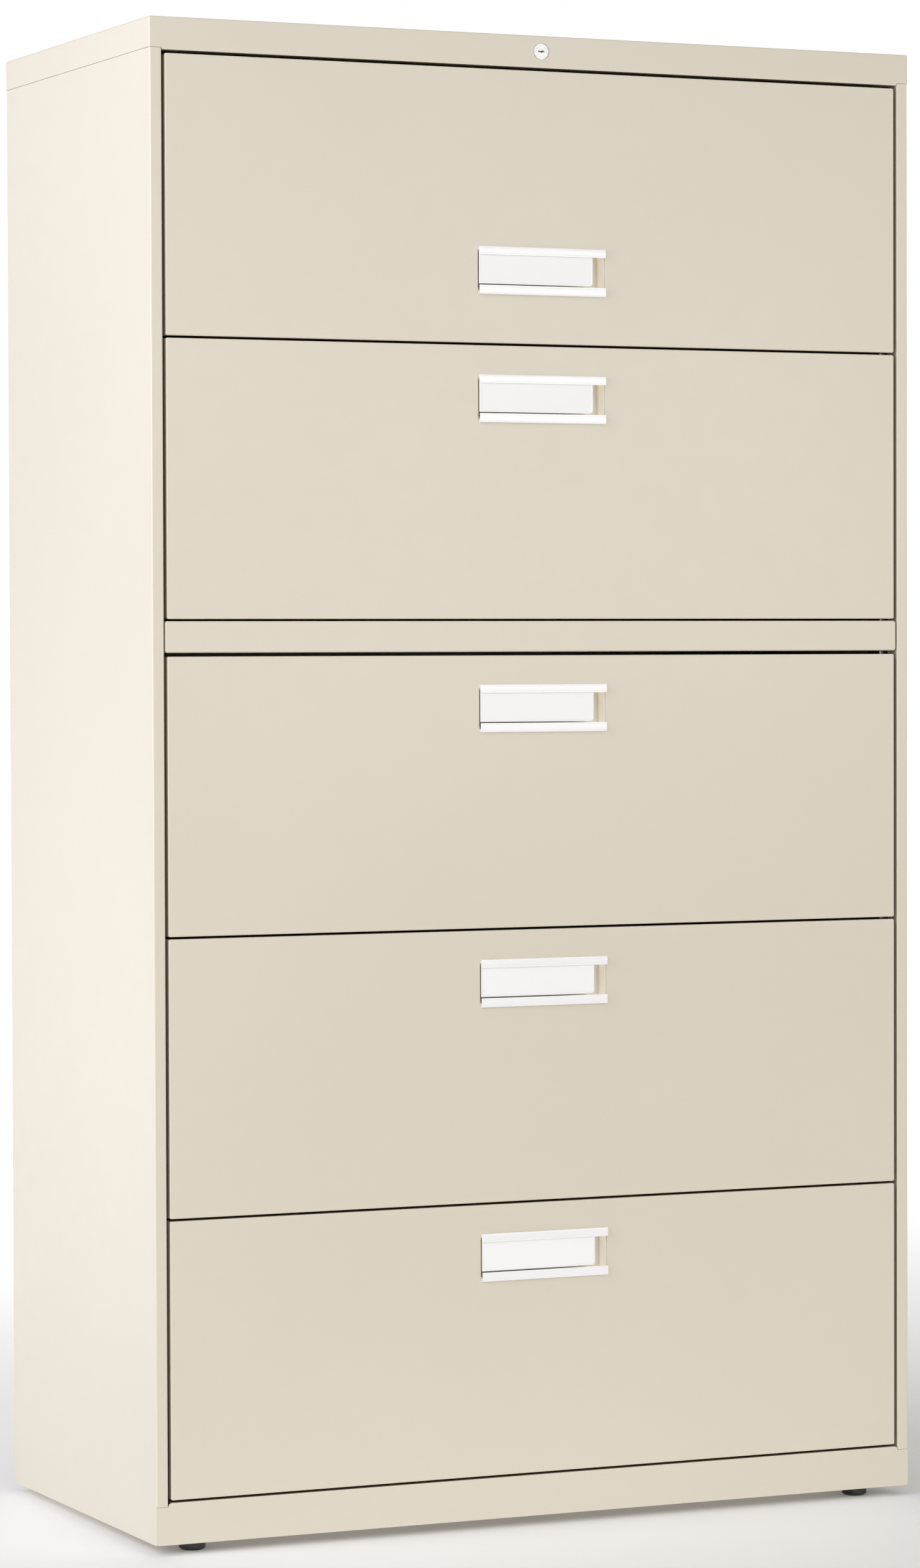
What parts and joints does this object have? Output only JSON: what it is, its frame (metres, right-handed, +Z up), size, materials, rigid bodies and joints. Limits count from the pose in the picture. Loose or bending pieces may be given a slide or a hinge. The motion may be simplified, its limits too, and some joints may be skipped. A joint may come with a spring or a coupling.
{
  "type": "lateral filing cabinet",
  "caption": "Tall lateral filing cabinet in putty painted steel with pull-out drawers, a lift-up receding door, a posting shelf and a cap lock.",
  "frame": {"origin": "middle of the footprint on the floor, under the centre of the whole object's box", "axes": "+Z up, -Y out of the drawer fronts, +X to the right seen from the front"},
  "size_m": [0.9144, 0.4608, 1.632],
  "materials": {
    "putty_paint": "satin powder coat with a fine texture",
    "pull_aluminium": "bright white-anodised satin",
    "label_card": "matt white card in a clear carrier",
    "lock_nickel": "bright nickel plate",
    "zinc_steel": "zinc plated",
    "black_steel": "black lacquer",
    "glide_plastic": "moulded, satin"
  },
  "bodies": {
    "case": {"left_side_panel": "putty_paint", "right_side_panel": "putty_paint", "back_panel": "putty_paint", "top_cap": "putty_paint", "base_front_rail": "putty_paint", "bottom_pan": "putty_paint", "slide_posts": "zinc_steel", "case_slides": "zinc_steel", "posting_shelf_guides": "zinc_steel", "door_tracks": "zinc_steel", "counterweight": "black_steel", "case_screws": "zinc_steel", "glide_brackets": "zinc_steel", "lock_housing": "lock_nickel", "lock_bar_guides": "zinc_steel"},
    "drawer_1": {"drawer_1_front": "putty_paint", "drawer_1_tray": "putty_paint", "drawer_1_pull": "pull_aluminium", "drawer_1_label": "label_card", "drawer_1_inner_slides": "zinc_steel", "drawer_1_file_rails": "zinc_steel"},
    "drawer_1_middle": {"drawer_1_middle_slides": "zinc_steel"},
    "drawer_2": {"drawer_2_front": "putty_paint", "drawer_2_tray": "putty_paint", "drawer_2_pull": "pull_aluminium", "drawer_2_label": "label_card", "drawer_2_inner_slides": "zinc_steel", "drawer_2_file_rails": "zinc_steel"},
    "drawer_2_middle": {"drawer_2_middle_slides": "zinc_steel"},
    "drawer_3": {"drawer_3_front": "putty_paint", "drawer_3_tray": "putty_paint", "drawer_3_pull": "pull_aluminium", "drawer_3_label": "label_card", "drawer_3_inner_slides": "zinc_steel", "drawer_3_file_rails": "zinc_steel"},
    "drawer_3_middle": {"drawer_3_middle_slides": "zinc_steel"},
    "drawer_4": {"drawer_4_front": "putty_paint", "drawer_4_tray": "putty_paint", "drawer_4_pull": "pull_aluminium", "drawer_4_label": "label_card", "drawer_4_inner_slides": "zinc_steel", "drawer_4_file_rails": "zinc_steel"},
    "drawer_4_middle": {"drawer_4_middle_slides": "zinc_steel"},
    "door_carriage": {"door_carriage": "zinc_steel", "door_tie_shaft": "zinc_steel"},
    "door": {"door_panel": "putty_paint", "door_pull": "pull_aluminium", "door_label": "label_card"},
    "shelf": {"shelf_tray": "putty_paint", "shelf_inner_slides": "zinc_steel"},
    "shelf_middle": {"shelf_middle_slides": "zinc_steel"},
    "posting_shelf": {"posting_shelf": "putty_paint"},
    "lock_plug": {"lock_plug": "lock_nickel"},
    "lock_rod": {"lock_rod": "zinc_steel"},
    "lock_bar": {"lock_bar": "zinc_steel"},
    "glide_front_left": {"glide_front_left": "glide_plastic"},
    "glide_front_right": {"glide_front_right": "glide_plastic"},
    "glide_rear_left": {"glide_rear_left": "glide_plastic"},
    "glide_rear_right": {"glide_rear_right": "glide_plastic"}
  },
  "joints": [
    {"name": "drawer_1_slide", "type": "slide", "parent": "case", "child": "drawer_1", "axis": [0, -1, 0], "range_m": [0, 0.38]},
    {"name": "drawer_1_middle_slide", "type": "slide", "parent": "case", "child": "drawer_1_middle", "axis": [0, -1, 0], "range_m": [0, 0.19]},
    {"name": "drawer_2_slide", "type": "slide", "parent": "case", "child": "drawer_2", "axis": [0, -1, 0], "range_m": [0, 0.38]},
    {"name": "drawer_2_middle_slide", "type": "slide", "parent": "case", "child": "drawer_2_middle", "axis": [0, -1, 0], "range_m": [0, 0.19]},
    {"name": "drawer_3_slide", "type": "slide", "parent": "case", "child": "drawer_3", "axis": [0, -1, 0], "range_m": [0, 0.38]},
    {"name": "drawer_3_middle_slide", "type": "slide", "parent": "case", "child": "drawer_3_middle", "axis": [0, -1, 0], "range_m": [0, 0.19]},
    {"name": "drawer_4_slide", "type": "slide", "parent": "case", "child": "drawer_4", "axis": [0, -1, 0], "range_m": [0, 0.38]},
    {"name": "drawer_4_middle_slide", "type": "slide", "parent": "case", "child": "drawer_4_middle", "axis": [0, -1, 0], "range_m": [0, 0.19]},
    {"name": "door_carriage_slide", "type": "slide", "parent": "case", "child": "door_carriage", "axis": [0, 1, 0], "range_m": [0, 0.2625]},
    {"name": "door_lift", "type": "hinge", "parent": "door_carriage", "child": "door", "pos_m": [0, -0.2148, 1.58365], "axis": [-1, 0, 0], "range_deg": [0, 90]},
    {"name": "shelf_slide", "type": "slide", "parent": "case", "child": "shelf", "axis": [0, -1, 0], "range_m": [0, 0.1735]},
    {"name": "shelf_middle_slide", "type": "slide", "parent": "case", "child": "shelf_middle", "axis": [0, -1, 0], "range_m": [0, 0.087]},
    {"name": "posting_shelf_slide", "type": "slide", "parent": "case", "child": "posting_shelf", "axis": [0, -1, 0], "range_m": [0, 0.3]},
    {"name": "lock_bar_lift", "type": "slide", "parent": "case", "child": "lock_bar", "axis": [0, 0, 1], "range_m": [0, 0.0113]},
    {"name": "lock_turn", "type": "hinge", "parent": "case", "child": "lock_plug", "pos_m": [0, -0.2268, 1.615], "axis": [0, 1, 0], "range_deg": [0, 90]},
    {"name": "lock_rod_slide", "type": "slide", "parent": "case", "child": "lock_rod", "axis": [1, 0, 0], "range_m": [0, 0.01135]},
    {"name": "glide_front_left_turn", "type": "hinge", "parent": "case", "child": "glide_front_left", "pos_m": [-0.404, -0.1958, 0.012], "axis": [0, 0, 1], "continuous": true},
    {"name": "glide_front_right_turn", "type": "hinge", "parent": "case", "child": "glide_front_right", "pos_m": [0.404, -0.1958, 0.012], "axis": [0, 0, 1], "continuous": true},
    {"name": "glide_rear_left_turn", "type": "hinge", "parent": "case", "child": "glide_rear_left", "pos_m": [-0.404, 0.1986, 0.012], "axis": [0, 0, 1], "continuous": true},
    {"name": "glide_rear_right_turn", "type": "hinge", "parent": "case", "child": "glide_rear_right", "pos_m": [0.404, 0.1986, 0.012], "axis": [0, 0, 1], "continuous": true}
  ],
  "couplings": [
    {"joint": "drawer_1_middle_slide", "follows": "drawer_1_slide", "ratio": 0.5},
    {"joint": "drawer_2_middle_slide", "follows": "drawer_2_slide", "ratio": 0.5},
    {"joint": "drawer_3_middle_slide", "follows": "drawer_3_slide", "ratio": 0.5},
    {"joint": "drawer_4_middle_slide", "follows": "drawer_4_slide", "ratio": 0.5},
    {"joint": "door_carriage_slide", "follows": "door_lift", "m_per_rad": 0.16679},
    {"joint": "shelf_slide", "follows": "door_lift", "m_per_rad": 0.11},
    {"joint": "shelf_middle_slide", "follows": "door_lift", "m_per_rad": 0.055},
    {"joint": "lock_turn", "follows": "lock_bar_lift", "rad_per_m": 138.84},
    {"joint": "lock_rod_slide", "follows": "lock_bar_lift", "ratio": 1}
  ]
}
